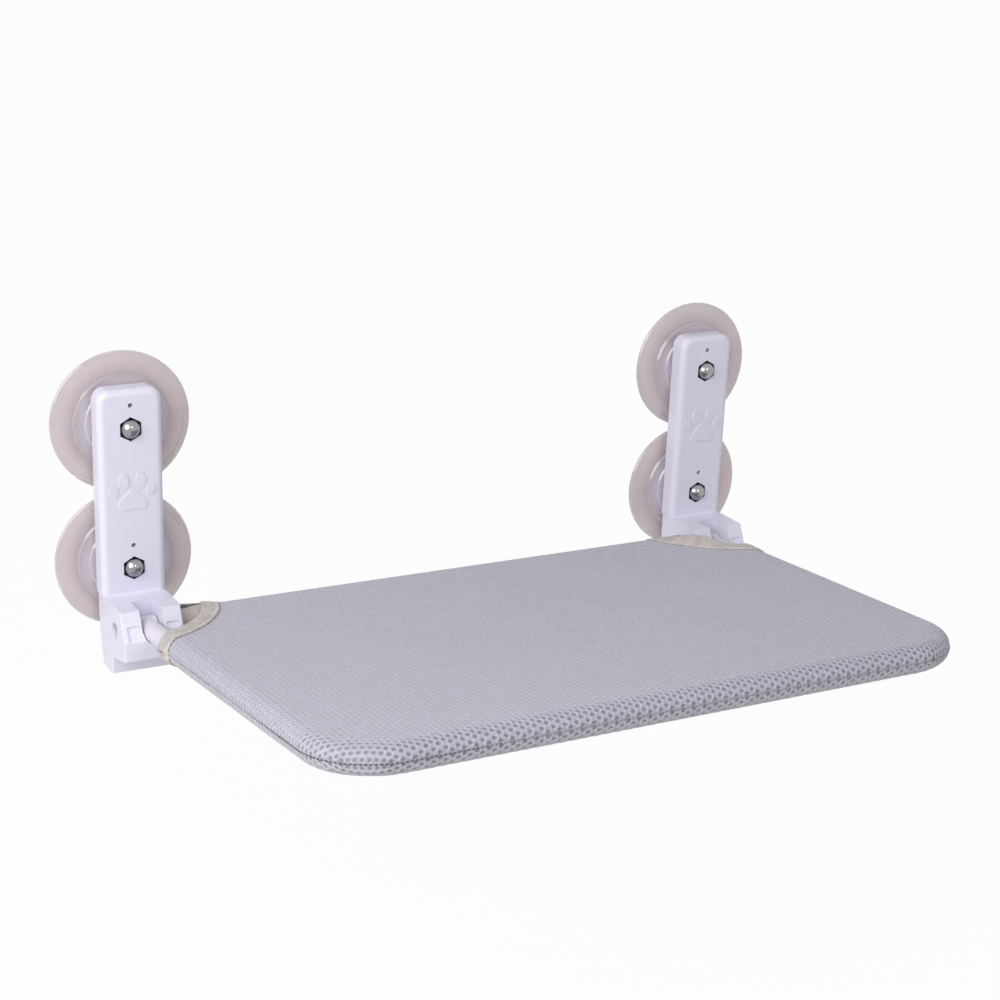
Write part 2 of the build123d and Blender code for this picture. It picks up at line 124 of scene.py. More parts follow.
def edge_distance(p, q):
    """Distance outside the line of the arms and front bar, with the outward direction there."""
    side = np.where(p < 0, -1.0, 1.0)
    x = np.abs(p)
    to_arm = (x - ARM_X) * OUT[0] + q * OUT[1]
    to_bar = -ARM_REACH - q
    cx, cy = x - CENTRE[0], q - CENTRE[1]
    radius = np.hypot(cx, cy) + 1e-9
    in_bend = (cx * ALONG[0] + cy * ALONG[1] > 0) & (cx > 0)
    d = np.where(in_bend, radius - BEND, np.maximum(to_arm, to_bar))
    nx = np.where(in_bend, cx / radius, np.where(to_arm > to_bar, OUT[0], 0.0))
    ny = np.where(in_bend, cy / radius, np.where(to_arm > to_bar, OUT[1], -1.0))
    return d, nx * side, ny


def ripple(p, q):
    """Slow unevenness of stretched cloth, in millimetres."""
    return (WIDE_RIPPLE * np.sin(p / 31.0 + 0.7 * np.sin(q / 47.0)) * np.sin(q / 38.0 + 1.1)
            + SMALL_RIPPLE * np.sin(p / 13.0 + q / 29.0 + 2.0))


def to_part(x, y, z):
    """Points of the mat's frame, in millimetres, as points of the model in metres."""
    c, s = math.cos(TILT), math.sin(TILT)
    return np.stack([x, HINGE[1] + y * c + z * s, HINGE[2] - y * s + z * c], axis=-1) * 0.001


def cover(p, q, lift, side=1):
    """Flat cloth to its place. p and q are the places in the cloth as it is cut, and lift is the
    height over its outside. side is 1 for the top panel and -1 for the bottom panel."""
    p, q, lift = np.broadcast_arrays(*(np.asarray(v, float) for v in (p, q, lift)))
    d, nx, ny = edge_distance(p, q)
    out = np.clip(d, 0.0, SEAM_D + CLOTH_PAST_SEAM)
    inside = np.clip(-d / CALM_EDGE, 0.0, 1.0)
    mx = np.clip(1 - (p / ARM_X) ** 2, 0, 1)
    my = np.clip(1 - ((q + ARM_REACH / 2) / (ARM_REACH / 2)) ** 2, 0, 1)
    if side > 0:
        sag = TOP_SAG * mx * my
    else:
        sag = -BOTTOM_SAG * (mx * my) ** 2
    swell = ripple(p, q) * inside * inside * np.clip(-q / CALM_REAR, 0, 1)
    if side > 0:
        press = (np.clip(1 + (q + PRESS_LEAD) / PRESS_RISE, 0, 1)
                 * np.clip(1 + (WRAP_LENGTH / 2 - q) / PRESS_FALL, 0, 1))
        press = press * press * (3 - 2 * press)
        lift = lift * (1 - (1 - PRESSED_SHARE) * press) - PRESS * press
    r = NET_R + lift
    angle = out / NET_R
    x = p - nx * out + nx * r * np.sin(angle)
    y = q - ny * out + ny * r * np.sin(angle)
    z = r * np.cos(angle) - sag + swell
    if side > 0:
        turn = np.clip(q, 0, WRAP_LENGTH) / WRAP_R
        beyond = np.maximum(q - WRAP_LENGTH, 0.0)
        w = WRAP_R + lift
        behind = q > 0
        x = np.where(behind, p, x)
        y = np.where(behind, w * np.sin(turn) - beyond, y)
        z = np.where(behind, WRAP_Z + w * np.cos(turn), z)
    return to_part(x, y, z * side)


# Line of the rear corner cuts, on the left side

CUT_POINTS = {"tail": 14, "wrap": 24, "panel": 70}  # places where it is worked out
CUT_STEP = 1.2  # from one point of the finished line to the next
NORMAL_PASSES = 6  # of smoothing its directions


def cut_arc():
    """Centre and radius of the bowed cut, with its two ends."""
    at_bar = np.array([-ARM_X + CUT_BAR, 0.0])
    at_arm = np.array([-ARM_X - NET_R, -CUT_ARM])
    chord = at_arm - at_bar
    half = np.linalg.norm(chord) / 2
    chord /= 2 * half
    inward = np.array([-chord[1], chord[0]])
    radius = (half * half + CUT_BOW * CUT_BOW) / (2 * CUT_BOW)
    middle = (at_bar + at_arm) / 2 + inward * CUT_BOW
    return middle - inward * radius, radius, at_bar, at_arm


def cut_x(y):
    """X of the cut at a place along Y, going straight on past the rear bar."""
    centre, radius, at_bar, at_arm = cut_arc()
    slope = -(at_bar[1] - centre[1]) / (at_bar[0] - centre[0])
    y = np.asarray(y, float)
    on_arc = centre[0] + np.sqrt(np.maximum(radius ** 2 - (y - centre[1]) ** 2, 0))
    return np.where(y > 0, at_bar[0] + y * slope, on_arc)


def cut_line(side):
    """Points of the cut in flat cloth, from the tail, or the bottom panel's end, to the seam."""
    points = []
    if side > 0:
        for y in np.linspace(-TAIL, 0, CUT_POINTS["tail"])[:-1]:
            points.append((float(cut_x(y)), WRAP_LENGTH - y))
        for turn in np.linspace(math.pi, 0, CUT_POINTS["wrap"])[:-1]:
            points.append((float(cut_x(WRAP_R * math.sin(turn))), turn * WRAP_R))
    for y in np.linspace(0, -CUT_ARM, CUT_POINTS["panel"]):
        x = float(cut_x(y))
        d, nx, ny = (float(v) for v in edge_distance(np.array(x), np.array(y)))
        at_seam = d > NET_R * math.sin(SEAM_D / NET_R)
        if d > 0:
            flat = NET_R * math.pi / 2 if at_seam else NET_R * math.asin(d / NET_R)
            x, y = x + nx * (flat - d), y + ny * (flat - d)
        points.append((x, y))
        if at_seam:
            break
    return resample(np.array(points), step=CUT_STEP)


def resample(points, step=None, count=None):
    """The same line in even steps of a length, or in so many."""
    lengths = np.concatenate([[0], np.cumsum(np.linalg.norm(np.diff(points, axis=0), axis=1))])
    count = count or max(int(lengths[-1] / step), 2)
    at = np.linspace(0, lengths[-1], count + 1)
    return np.stack([np.interp(at, lengths, points[:, i]) for i in range(points.shape[1])], axis=-1)


def line_normals(points):
    """Direction to the right of a flat line, smoothed."""
    step = np.gradient(points, axis=0)
    step /= np.linalg.norm(step, axis=1)[:, None]
    normal = np.stack([step[:, 1], -step[:, 0]], axis=-1)
    for _ in range(NORMAL_PASSES):
        normal[1:-1] = (normal[:-2] + normal[1:-1] * 2 + normal[2:]) / 4
    return normal / np.linalg.norm(normal, axis=1)[:, None]


# Meshes


def new_piece(name, verts, faces, materials, face_slots=None, smooth=True):
    """A mesh object in the scene, with the material of each face."""
    mesh = bpy.data.meshes.new(name)
    mesh.from_pydata([tuple(v) for v in verts], [], faces)
    for finish in materials:
        mesh.materials.append(finish)
    if face_slots is not None:
        mesh.polygons.foreach_set("material_index", np.asarray(face_slots, np.int32))
    if smooth:
        mesh.polygons.foreach_set("use_smooth", np.ones(len(mesh.polygons), bool))
    mesh.update()
    piece = bpy.data.objects.new(name, mesh)
    bpy.context.scene.collection.objects.link(piece)
    return piece


def mirrored(verts):
    """The left side's points as the right side's."""
    return verts * np.array([-1.0, 1.0, 1.0])


def tube_faces(stations, loop, first=0):
    """Faces of a tube whose rings of points follow one another, with both ends shut."""
    faces = []
    for i in range(first, first + (stations - 1) * loop, loop):
        for j in range(loop):
            k = (j + 1) % loop
            faces.append((i + j, i + k, i + loop + k, i + loop + j))
    last = first + (stations - 1) * loop
    faces.append(tuple(range(first, first + loop))[::-1])
    faces.append(tuple(range(last, last + loop)))
    return faces


# Corners of a cell, in sixths of the pitch and in rows
HEX = np.array([(2, 0), (1, 1), (-1, 1), (-2, 0), (-1, -1), (1, -1)])
RIBS, OPEN_HOLE, BACK, SHUT_HOLE = range(4)


def net(name, keep, side, materials):
    """Spacer mesh: rounded ribs and one hole a cell, coloured dark as painted shade, with a closed
    back and closed edges. The materials are those of the ribs, the open holes, the back and the
    shut holes."""
    unit = CELL_X / 6
    columns = np.arange(-CELLS_EACH_SIDE, CELLS_EACH_SIDE + 1)
    cells = []
    for row in range(-int(CELLS_FRONT / CELL_ROW), int(CELLS_REAR / CELL_ROW)):
        across = columns * 6 + 3 * (row % 2)
        cells.append(np.stack([across, np.full(columns.shape, row)], axis=-1))
    cells = np.concatenate(cells)
    cells = cells[keep(cells[:, 0] * unit, cells[:, 1] * CELL_ROW)]
    corners = (cells[:, None, :] + HEX[None, :, :]).reshape(-1, 2)
    keys, index = np.unique(corners, axis=0, return_inverse=True)
    index = index.reshape(-1, 6)
    count, shared = len(cells), len(keys)
    p, q = keys[:, 0] * unit, keys[:, 1] * CELL_ROW

    ends = np.roll(index, -1, axis=1)
    pairs = dict.fromkeys(zip(index.ravel().tolist(), ends.ravel().tolist()))
    border = [(a, b) for a, b in pairs if (b, a) not in pairs]

    # Cells at the seam are drawn out to it, so that the edge is even
    on_border = np.zeros(shared, bool)
    on_border[[v for pair in border for v in pair]] = True
    d, nx, ny = edge_distance(p, q)
    at_seam = on_border & (d > SEAM_D - EDGE_CELLS) & (q < 0)
    p = np.where(at_seam, p + nx * (SEAM_D - d), p)
    q = np.where(at_seam, q + ny * (SEAM_D - d), q)

    # The holes open where the mesh bends over the front bar, and far less over the arms
    centre_p, centre_q = p[index].mean(axis=1), q[index].mean(axis=1)
    d, _, ny = edge_distance(centre_p, centre_q)
    along_bar = np.clip(np.abs(ny) * BAR_SLOPE, 0, 1)
    bent = (np.clip((d - OPENS_FROM) / OPENS_OVER, 0, 1)
            * (ARM_SHARE + (1 - ARM_SHARE) * along_bar))
    wide, high, drop, depth = (a + (b - a) * bent for a, b in zip(FLAT_HOLE, BENT_HOLE))
    rim_p = centre_p[:, None] + wide[:, None] * HOLE_RIM[:, 0]
    rim_q = centre_q[:, None] + high[:, None] * HOLE_RIM[:, 1]
    verts = np.concatenate([
        cover(p, q, 0.0, side),
        cover(rim_p.ravel(), rim_q.ravel(), -np.repeat(drop, 6), side),
        cover(centre_p, centre_q, -depth, side),
        cover(p, q, -NET_T, side),
    ])
    rim = shared + np.arange(count * 6).reshape(-1, 6)
    low = shared + count * 6 + np.arange(count)
    back = shared + count * 7
    faces, slots = [], []
    for k in range(6):
        n = (k + 1) % 6
        faces += np.stack([index[:, k], index[:, n], rim[:, n], rim[:, k]], axis=-1).tolist()
        slots += [RIBS] * count
    for k in range(6):
        n = (k + 1) % 6
        faces += np.stack([rim[:, k], rim[:, n], low], axis=-1).tolist()
        slots += np.where(bent > OPEN_LOOK, OPEN_HOLE, SHUT_HOLE).tolist()
    faces += (index[:, ::-1] + back).tolist()
    slots += [BACK] * count
    for a, b in border:
        faces.append([a + back, b + back, b, a])
        slots.append(BACK)
    if side < 0:
        faces = [tuple(reversed(face)) for face in faces]
    return new_piece(name, verts, faces, materials, slots)


WIDENS_OVER = 26.0  # stations at the end of a band


def band_mesh(line, normals, profile, side, pucker=0.0, rise=0.0, widen=0.0):
    """A closed band along a flat line. profile is a loop of offsets to the right and lifts. pucker
    is the height of its small waves. rise lifts the free edge at each station, and widen adds a
    share of the width towards the end."""
    stations, loop = len(line), len(profile)
    profile = np.array(profile)
    offset, height = profile[None, :, 0], profile[None, :, 1]
    s = np.arange(stations)[:, None]
    across = np.arange(loop)[None, :]
    wave = pucker * (np.sin(s * 1.7 + 0.5 * across) * 0.6
                     + np.sin(s * 0.71 - 0.4 * across + 1.0) * 0.4)
    free = np.clip(offset / BAND, 0, 1) ** 1.3
    lift = height + wave * (height > 0) + np.reshape(rise, (-1, 1)) * free
    near_end = np.clip(1 - (stations - 1 - s) / WIDENS_OVER, 0, 1)
    offset = offset * (1 + widen * near_end * (offset > 0))
    p = line[:, 0, None] + normals[:, 0, None] * offset
    q = line[:, 1, None] + normals[:, 1, None] * offset
    d, nx, ny = edge_distance(p, q)
    allowed = BINDING_PAST_SEAM if side > 0 else 0.0
    past_seam = np.where(q < 0, np.maximum(d - SEAM_D - allowed, 0), 0)
    p, q = p - nx * past_seam, q - ny * past_seam
    return cover(p, q, lift, side).reshape(-1, 3), tube_faces(stations, loop)


def face_outward(piece):
    """Turns the faces of a closed piece outward."""
    shape = bmesh.new()
    shape.from_mesh(piece.data)
    bmesh.ops.recalc_face_normals(shape, faces=shape.faces)
    shape.to_mesh(piece.data)
    shape.free()
    piece.data.update()
    return piece


# A stitch, from one end to the other: places as shares of its length, and shares of its radius
STITCH = [(-0.5, 0.35), (-0.36, 0.9), (0.0, 1.0), (0.36, 0.9), (0.5, 0.35)]
STITCH_SIDES = 6
STITCH_INSET = 0.75  # place of the bindings' stitches, past their edge
STITCH_LIFT = 0.15


def beads(points, length, radius, pitch):
    """Stitches: short rounded lengths of thread laid along a line, in metres."""
    steps = np.concatenate([[0], np.cumsum(np.linalg.norm(np.diff(points, axis=0), axis=1))])
    verts, faces = [], []
    at = length / 2
    while at < steps[-1] - length / 2:
        centre = np.array([np.interp(at, steps, points[:, i]) for i in range(3)])
        ahead = np.array([np.interp(at + length / 3, steps, points[:, i]) for i in range(3)])
        t = ahead - centre
        t /= np.linalg.norm(t)
        u = np.cross(t, [0.0, 0.0, 1.0])
        if np.linalg.norm(u) < 1e-3:
            u = np.cross(t, [1.0, 0.0, 0.0])
        u /= np.linalg.norm(u)
        v = np.cross(t, u)
        faces += tube_faces(len(STITCH), STITCH_SIDES, first=len(verts))
        for along, size in STITCH:
            for k in range(STITCH_SIDES):
                a = 2 * math.pi * k / STITCH_SIDES
                verts.append(centre + t * along * length
                             + (u * math.cos(a) + v * math.sin(a)) * radius * size)
        at += pitch
    return np.array(verts), faces


# Materials


def material(name, colour, roughness, **values):
    """A Principled material, with its nodes, its links and its shader."""
    made = bpy.data.materials.new(name)
    made.use_nodes = True
    shader = made.node_tree.nodes["Principled BSDF"]
    shader.inputs["Base Color"].default_value = (*colour, 1.0)
    shader.inputs["Roughness"].default_value = roughness
    for key, value in values.items():
        shader.inputs[key.replace("_", " ")].default_value = value
    return made, made.node_tree.nodes, made.node_tree.links, shader


def coordinates(nodes):
    """Places on the object, in metres."""
    return nodes.new("ShaderNodeTexCoord").outputs["Object"]


def noise_node(nodes, links, vector, scale, detail=3.0, rough=0.55):
    """Noise from 0 to 1, with about that many spots in a metre."""
    noise = nodes.new("ShaderNodeTexNoise")
    noise.inputs["Scale"].default_value = scale
    noise.inputs["Detail"].default_value = detail
    noise.inputs["Roughness"].default_value = rough
    links.new(vector, noise.inputs["Vector"])
    return noise.outputs["Fac"]


def ramp_colour(nodes, links, value, shader, low, high, start=0.3, end=0.7):
    """Links the base colour to a ramp between two colours."""
    ramp = nodes.new("ShaderNodeValToRGB")
    ramp.color_ramp.elements[0].position = start
    ramp.color_ramp.elements[1].position = end
    ramp.color_ramp.elements[0].color = (*low, 1.0)
    ramp.color_ramp.elements[1].color = (*high, 1.0)
    links.new(value, ramp.inputs["Fac"])
    links.new(ramp.outputs["Color"], shader.inputs["Base Color"])


def add_bump(nodes, links, value, shader, strength, distance):
    """Links the normal to a bump of that height in metres."""
    bump = nodes.new("ShaderNodeBump")
    bump.inputs["Strength"].default_value = strength
    bump.inputs["Distance"].default_value = distance
    links.new(value, bump.inputs["Height"])
    links.new(bump.outputs["Normal"], shader.inputs["Normal"])


def combined(nodes, links, operation, *values):
    """A math node's result, from sockets and plain numbers."""
    math_node = nodes.new("ShaderNodeMath")
    math_node.operation = operation
    for socket, value in zip(math_node.inputs, values):
        if isinstance(value, float):
            socket.default_value = value
        else:
            links.new(value, socket)
    return math_node.outputs[0]


def remap(nodes, links, value, low, high, to_low, to_high):
    """The value between two limits, mapped smoothly to two others."""
    mapped = nodes.new("ShaderNodeMapRange")
    mapped.interpolation_type = "SMOOTHSTEP"
    limits = {"From Min": low, "From Max": high, "To Min": to_low, "To Max": to_high}
    for socket, number in limits.items():
        mapped.inputs[socket].default_value = number
    links.new(value, mapped.inputs["Value"])
    return mapped.outputs["Result"]


STUD_PLACES = {"X": 0.21, "Z": 0.045}  # of the four stud axes, either side of the middle


def nut_axis_distance(nodes, links, vector):
    """Distance from the nearest stud axis, and the place along it, in metres."""
    split = nodes.new("ShaderNodeSeparateXYZ")
    links.new(vector, split.inputs["Vector"])
    join = nodes.new("ShaderNodeCombineXYZ")
    for axis, middle in STUD_PLACES.items():
        size = combined(nodes, links, "ABSOLUTE", split.outputs[axis])
        links.new(combined(nodes, links, "SUBTRACT", size, middle), join.inputs[axis])
    length = nodes.new("ShaderNodeVectorMath")
    length.operation = "LENGTH"
    links.new(join.outputs[0], length.inputs[0])
    return length.outputs["Value"], split.outputs["Y"]


def shade_colour(nodes, links, shader, factor):
    """Multiplies the base colour that is already linked by a factor."""
    scale = nodes.new("ShaderNodeVectorMath")
    scale.operation = "SCALE"
    links.new(shader.inputs["Base Color"].links[0].from_socket, scale.inputs[0])
    links.new(factor, scale.inputs["Scale"])
    links.new(scale.outputs[0], shader.inputs["Base Color"])


def tinted(colour, factor):
    """A lighter or darker colour."""
    return tuple(min(c * factor, 1.0) for c in colour)


def speckled(name, colour, roughness, scale, spread, bump, distance, **values):
    """A finish with fine mottling of its colour and a fine bump."""
    made, nodes, links, shader = material(name, colour, roughness, **values)
    mottle = noise_node(nodes, links, coordinates(nodes), scale)
    ramp_colour(nodes, links, mottle, shader,
                tinted(colour, 1 - spread), tinted(colour, 1 + spread))
    add_bump(nodes, links, mottle, shader, bump, distance)
    return made


# The nut pockets, in metres: their edge from the stud axis, and their mouth and floor along it,
# with the place along it where the painted shade on the nuts ends. The painted shades are shares of
# the colour.
POCKET_EDGE = (0.0079, 0.0084)
POCKET_MOUTH = (-0.0213, -0.0203)
POCKET_FLOOR = (-0.0108, -0.0104)
POCKET_PAINTED_SHADE = 0.22
NUT_PAINTED_SHADE_SPAN = (-0.0205, -0.0178)
NUT_PAINTED_SHADE = 0.12


def moulded(name, colour):
    """Satin moulded plastic, with painted shade dark inside the pockets of the nuts."""
    made = speckled(name, colour, 0.38, 900.0, 0.015, 0.08, 0.0001)
    nodes, links = made.node_tree.nodes, made.node_tree.links
    away, along = nut_axis_distance(nodes, links, coordinates(nodes))
    # Painted shade: the colour darkens inside each nut pocket, from its mouth to its floor
    inside = combined(nodes, links, "MULTIPLY", remap(nodes, links, away, *POCKET_EDGE, 1.0, 0.0),
                      remap(nodes, links, along, *POCKET_MOUTH, 0.0, 1.0))
    inside = combined(nodes, links, "MULTIPLY", inside,
                      remap(nodes, links, along, *POCKET_FLOOR, 1.0, 0.0))
    shade_colour(nodes, links, nodes["Principled BSDF"],
                 remap(nodes, links, inside, 0.0, 1.0, 1.0, POCKET_PAINTED_SHADE))
    return made


def nut_metal(name, colour):
    """Polished metal, with painted shade and dark reflection on the hexagon, deep in its pocket."""
    made = speckled(name, colour, 0.13, 500.0, 0.05, 0.04, 0.0001, Metallic=1.0)
    nodes, links = made.node_tree.nodes, made.node_tree.links
    _, along = nut_axis_distance(nodes, links, coordinates(nodes))
    # Painted shade and dark reflection: the hexagon, deep in its pocket, is darker than the dome
    shade_colour(nodes, links, nodes["Principled BSDF"],
                 remap(nodes, links, along, *NUT_PAINTED_SHADE_SPAN, 1.0, NUT_PAINTED_SHADE))
    return made


# Tints of a cup by the distance from its axis in millimetres: the vinyl's own tint, with painted
# shade and reflection in a darker band round the step near 30 mm and a painted highlight at the
# rim.
# They wander by a part of a millimetre, here in metres, and the flow marks are waves of so many
# radians a metre.
TINT_DRIFT = 0.0008
FLOW_MARKS, FLOW_MARK_SHARE = 2800.0, 0.25
CUP_RADIUS = 44.5
CUP_TINTS_AND_SHADE = [(0.0, (0.78, 0.72, 0.80)), (20.0, (0.70, 0.63, 0.71)), (27.0, (0.66, 0.585, 0.655)),
             (30.5, (0.56, 0.485, 0.52)), (33.0, (0.63, 0.55, 0.57)), (37.5, (0.70, 0.615, 0.625)),
             (41.5, (0.73, 0.645, 0.655)), (43.6, (0.66, 0.585, 0.595)),
             (CUP_RADIUS, (0.80, 0.74, 0.75))]


def soft_vinyl(name):
    """Clear soft vinyl, tinted by the distance from the axis, with painted shade and reflection in
    a darker band round the step and a painted highlight at the rim, and flow marks round the hub.
    """
    made, nodes, links, shader = material(name, (0.70, 0.62, 0.64), 0.13,
                                          Transmission_Weight=0.52, IOR=1.45, Coat_Weight=0.5)
    vector = coordinates(nodes)
    away, _ = nut_axis_distance(nodes, links, vector)
    mottle = noise_node(nodes, links, vector, 45.0)
    shifted = combined(nodes, links, "ADD", away,
                       remap(nodes, links, mottle, 0.3, 0.7, -TINT_DRIFT, TINT_DRIFT))
    ramp = nodes.new("ShaderNodeValToRGB")
    ramp.color_ramp.interpolation = "B_SPLINE"
    stops = ramp.color_ramp.elements
    while len(stops) < len(CUP_TINTS_AND_SHADE):
        stops.new(0.5)
    for stop, (radius, colour) in zip(stops, CUP_TINTS_AND_SHADE):
        stop.position = radius / CUP_RADIUS
        stop.color = (*colour, 1.0)
    links.new(combined(nodes, links, "DIVIDE", shifted, CUP_RADIUS / 1000), ramp.inputs["Fac"])
    links.new(ramp.outputs["Color"], shader.inputs["Base Color"])
    waves = combined(nodes, links, "SINE", combined(nodes, links, "MULTIPLY", away, FLOW_MARKS))
    marks = combined(nodes, links, "MULTIPLY", waves, FLOW_MARK_SHARE)
    add_bump(nodes, links, combined(nodes, links, "ADD", marks, mottle), shader, 0.12, 0.0005)
    return made


def knitted(name, colour, spread=0.1, strength=0.6):
    """Yarn of the mesh: fine filaments and a fine mottling."""
    made, nodes, links, shader = material(name, colour, 0.82, Sheen_Weight=0.25,
                                          Sheen_Roughness=0.5)
    vector = coordinates(nodes)
    filaments = nodes.new("ShaderNodeTexWave")
    filaments.bands_direction = "DIAGONAL"
    filaments.inputs["Scale"].default_value = 900.0
    filaments.inputs["Distortion"].default_value = 6.0
    filaments.inputs["Detail"].default_value = 2.0
    links.new(vector, filaments.inputs["Vector"])
    mottle = noise_node(nodes, links, vector, 700.0, 2.0)
    ramp_colour(nodes, links, mottle, shader,
                tinted(colour, 1 - spread), tinted(colour, 1 + spread))
    add_bump(nodes, links, filaments.outputs["Fac"], shader, strength, 0.00025)
    return made


WAVES_AT_SCALE_1 = 3.18  # waves in a metre of the wave texture at a scale of 1


def woven(name, colour, pitch, spread=0.08, strength=0.5, other=None, scale=160.0):
    """Plain woven tape: two crossed sets of fine threads, mottled towards another colour."""
    made, nodes, links, shader = material(name, colour, 0.85, Sheen_Weight=0.2)
    vector = coordinates(nodes)
    threads = []
    for direction in ("X", "Y"):
        wave = nodes.new("ShaderNodeTexWave")
        wave.bands_direction = direction
        wave.inputs["Scale"].default_value = 1.0 / pitch / WAVES_AT_SCALE_1
        wave.inputs["Distortion"].default_value = 0.8
        links.new(vector, wave.inputs["Vector"])
        threads.append(wave.outputs["Fac"])
    weave = combined(nodes, links, "MULTIPLY", *threads)
    mottle = noise_node(nodes, links, vector, scale, 4.0, 0.62)
    ramp_colour(nodes, links, mottle, shader, other or tinted(colour, 1 - spread),
                tinted(colour, 1 + spread), 0.38, 0.62)
    add_bump(nodes, links, weave, shader, strength, 0.0003)
    return made


LILAC_WHITE = (0.76, 0.745, 0.86)
plastic = moulded("moulded_plastic", LILAC_WHITE)
vinyl = soft_vinyl("cup_vinyl")
zinc = speckled("zinc_steel", (0.55, 0.55, 0.56), 0.32, 300.0, 0.08, 0.1, 0.0001, Metallic=1.0)
bright = nut_metal("polished_nut", (0.34, 0.335, 0.345))
nylon = speckled("plug_nylon", (0.72, 0.71, 0.77), 0.5, 700.0, 0.02, 0.08, 0.0001)
powder = speckled("powder_coat", (0.75, 0.715, 0.79), 0.45, 1400.0, 0.02, 0.25, 0.00015)
yarn = knitted("mesh_yarn", (0.577, 0.557, 0.657))
# The holes' colours are painted shade, darker for the holes that open over the tubes
hole = knitted("mesh_hole_painted_shade", (0.32, 0.305, 0.355), 0.15, 0.3)
shut_hole = knitted("mesh_shut_hole_painted_shade", (0.43, 0.415, 0.475), 0.12, 0.3)
backing = knitted("mesh_back", (0.46, 0.44, 0.48), 0.08)
under_yarn = knitted("mesh_yarn_below", (0.57, 0.545, 0.60))
binding = woven("binding_weave", (0.63, 0.565, 0.555), 0.0009, strength=0.9,
                other=(0.52, 0.48, 0.45), scale=130.0)
fold = woven("binding_fold", (0.66, 0.605, 0.585), 0.0009, strength=0.6,
             other=(0.56, 0.52, 0.47), scale=200.0)
# Painted shade: the inside of the facing's loose end is coloured dark
facing_inside_painted_shade = woven("facing_inside_painted_shade", (0.38, 0.35, 0.30), 0.0009, other=(0.27, 0.255, 0.20))
# Binding stitches: the dark brown is partly the thread and partly painted shade along the stitch
# line
thread = woven("stitch_thread_and_shade", (0.29, 0.25, 0.24), 0.0004, 0.1, 0.3)
# Seam thread, darkened partly as painted shade of the needle holes
dark_thread_and_shade = woven("seam_thread_and_shade", (0.12, 0.115, 0.135), 0.0004, 0.1, 0.3)
tape = woven("seam_tape", (0.57, 0.55, 0.60), 0.0008)
loop_pile = speckled("closure_loop", (0.62, 0.60, 0.62), 0.95, 1500.0, 0.2, 1.0, 0.0005,
                     Sheen_Weight=0.4)
hook_pile = speckled("closure_hook", (0.58, 0.56, 0.58), 0.7, 1100.0, 0.2, 1.0, 0.0005)

# Finish of the CAD nodes that stay, by the start of their names, the longest that fits
CAD_FINISH = {
    "bracket": plastic, "suction": vinyl, "cup_studs": zinc, "dome_nuts": bright,
    "hinge_pin": zinc, "arm_plug": nylon, "rear_bar_insert": nylon, "thrust_washers": nylon,
    "rear_bar": powder, "frame_tube": powder,
}
for node_name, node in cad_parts.items():
    for start in sorted(CAD_FINISH, key=len):
        if node_name.startswith(start):
            if not node.material_slots:
                node.data.materials.append(CAD_FINISH[start])
            for each in node.material_slots:
                each.material = CAD_FINISH[start]


# Cover panels

top_line = cut_line(1)
bottom_line = cut_line(-1)

AT_ONCE = 4000  # cells compared with the cut together, to save memory


def outside_cut(p, q, line):
    """Distance past the corner cut, positive towards the corner, for cells on either side."""
    points = np.stack([-np.abs(p), q], axis=-1)
    normals = line_normals(line)
    away = np.empty(len(points))
    for i in range(0, len(points), AT_ONCE):
        part = points[i:i + AT_ONCE]
        gap = part[:, None, :] - line[None, :, :]
        near = np.argmin((gap ** 2).sum(axis=-1), axis=1)
        rows = np.arange(len(part))
        away[i:i + AT_ONCE] = (gap[rows, near] * normals[near]).sum(axis=-1)
    return away


def keep_top(p, q):
    """Whether a cell is part of the top panel."""
    kept = edge_distance(p, q)[0] < SEAM_D - SEAM_MARGIN
    kept &= (q < WRAP_LENGTH + TAIL - END_MARGIN) & (np.abs(p) < PANEL_HALF_WIDTH)
    return kept & (outside_cut(p, q, top_line) < CUT_MARGIN)


def keep_bottom(p, q):
    """Whether a cell is part of the bottom panel."""
    kept = (edge_distance(p, q)[0] < SEAM_D - SEAM_MARGIN) & (q < -END_MARGIN)
    return kept & (outside_cut(p, q, bottom_line) < CUT_MARGIN)


top_panel = net("cover_top", keep_top, 1, [yarn, hole, backing, shut_hole])
bottom_panel = net("cover_bottom", keep_bottom, -1, [under_yarn, hole, backing, shut_hole])

# Bindings of the corner cuts, with the facing that covers the rear bar up to the bracket

# Profiles of the binding and the hem across the cloth: offsets to the right, and lifts
TAPE = [(-0.5, 0.05), (-0.35, 0.65), (0.3, 1.1), (1.2, 1.05), (1.9, 0.55), (2.8, 0.9),
        (4.8, 1.25), (6.6, 1.0), (8.4, 1.35), (9.8, 1.2), (10.8, 0.5), (11.1, -0.4),
        (10.7, -1.2), (9.4, -1.9), (5.0, -2.25), (1.0, -2.3), (-0.3, -2.3), (-0.5, -2.0)]
FOLD_FACES = 4  # first faces of the tape's profile, which have the folded edge's finish
HEM = [(-4.0, 0.2), (-3.7, 0.6), (-1.0, 0.8), (3.0, 0.7), (4.0, 0.2), (4.2, -1.0), (3.8, -2.2),
       (0.0, -2.3), (-3.7, -2.3), (-4.0, -2.0)]
HEM_HALF = 4.2  # half its width
HEM_GAP = 0.2  # from the bottom panel's hem to the hinge axis
HEM_INSET = 1.0  # of its ends, from the corner cuts
HEM_STATIONS = 130
WEAVE, INSIDE_SHADE, FOLD = range(3)

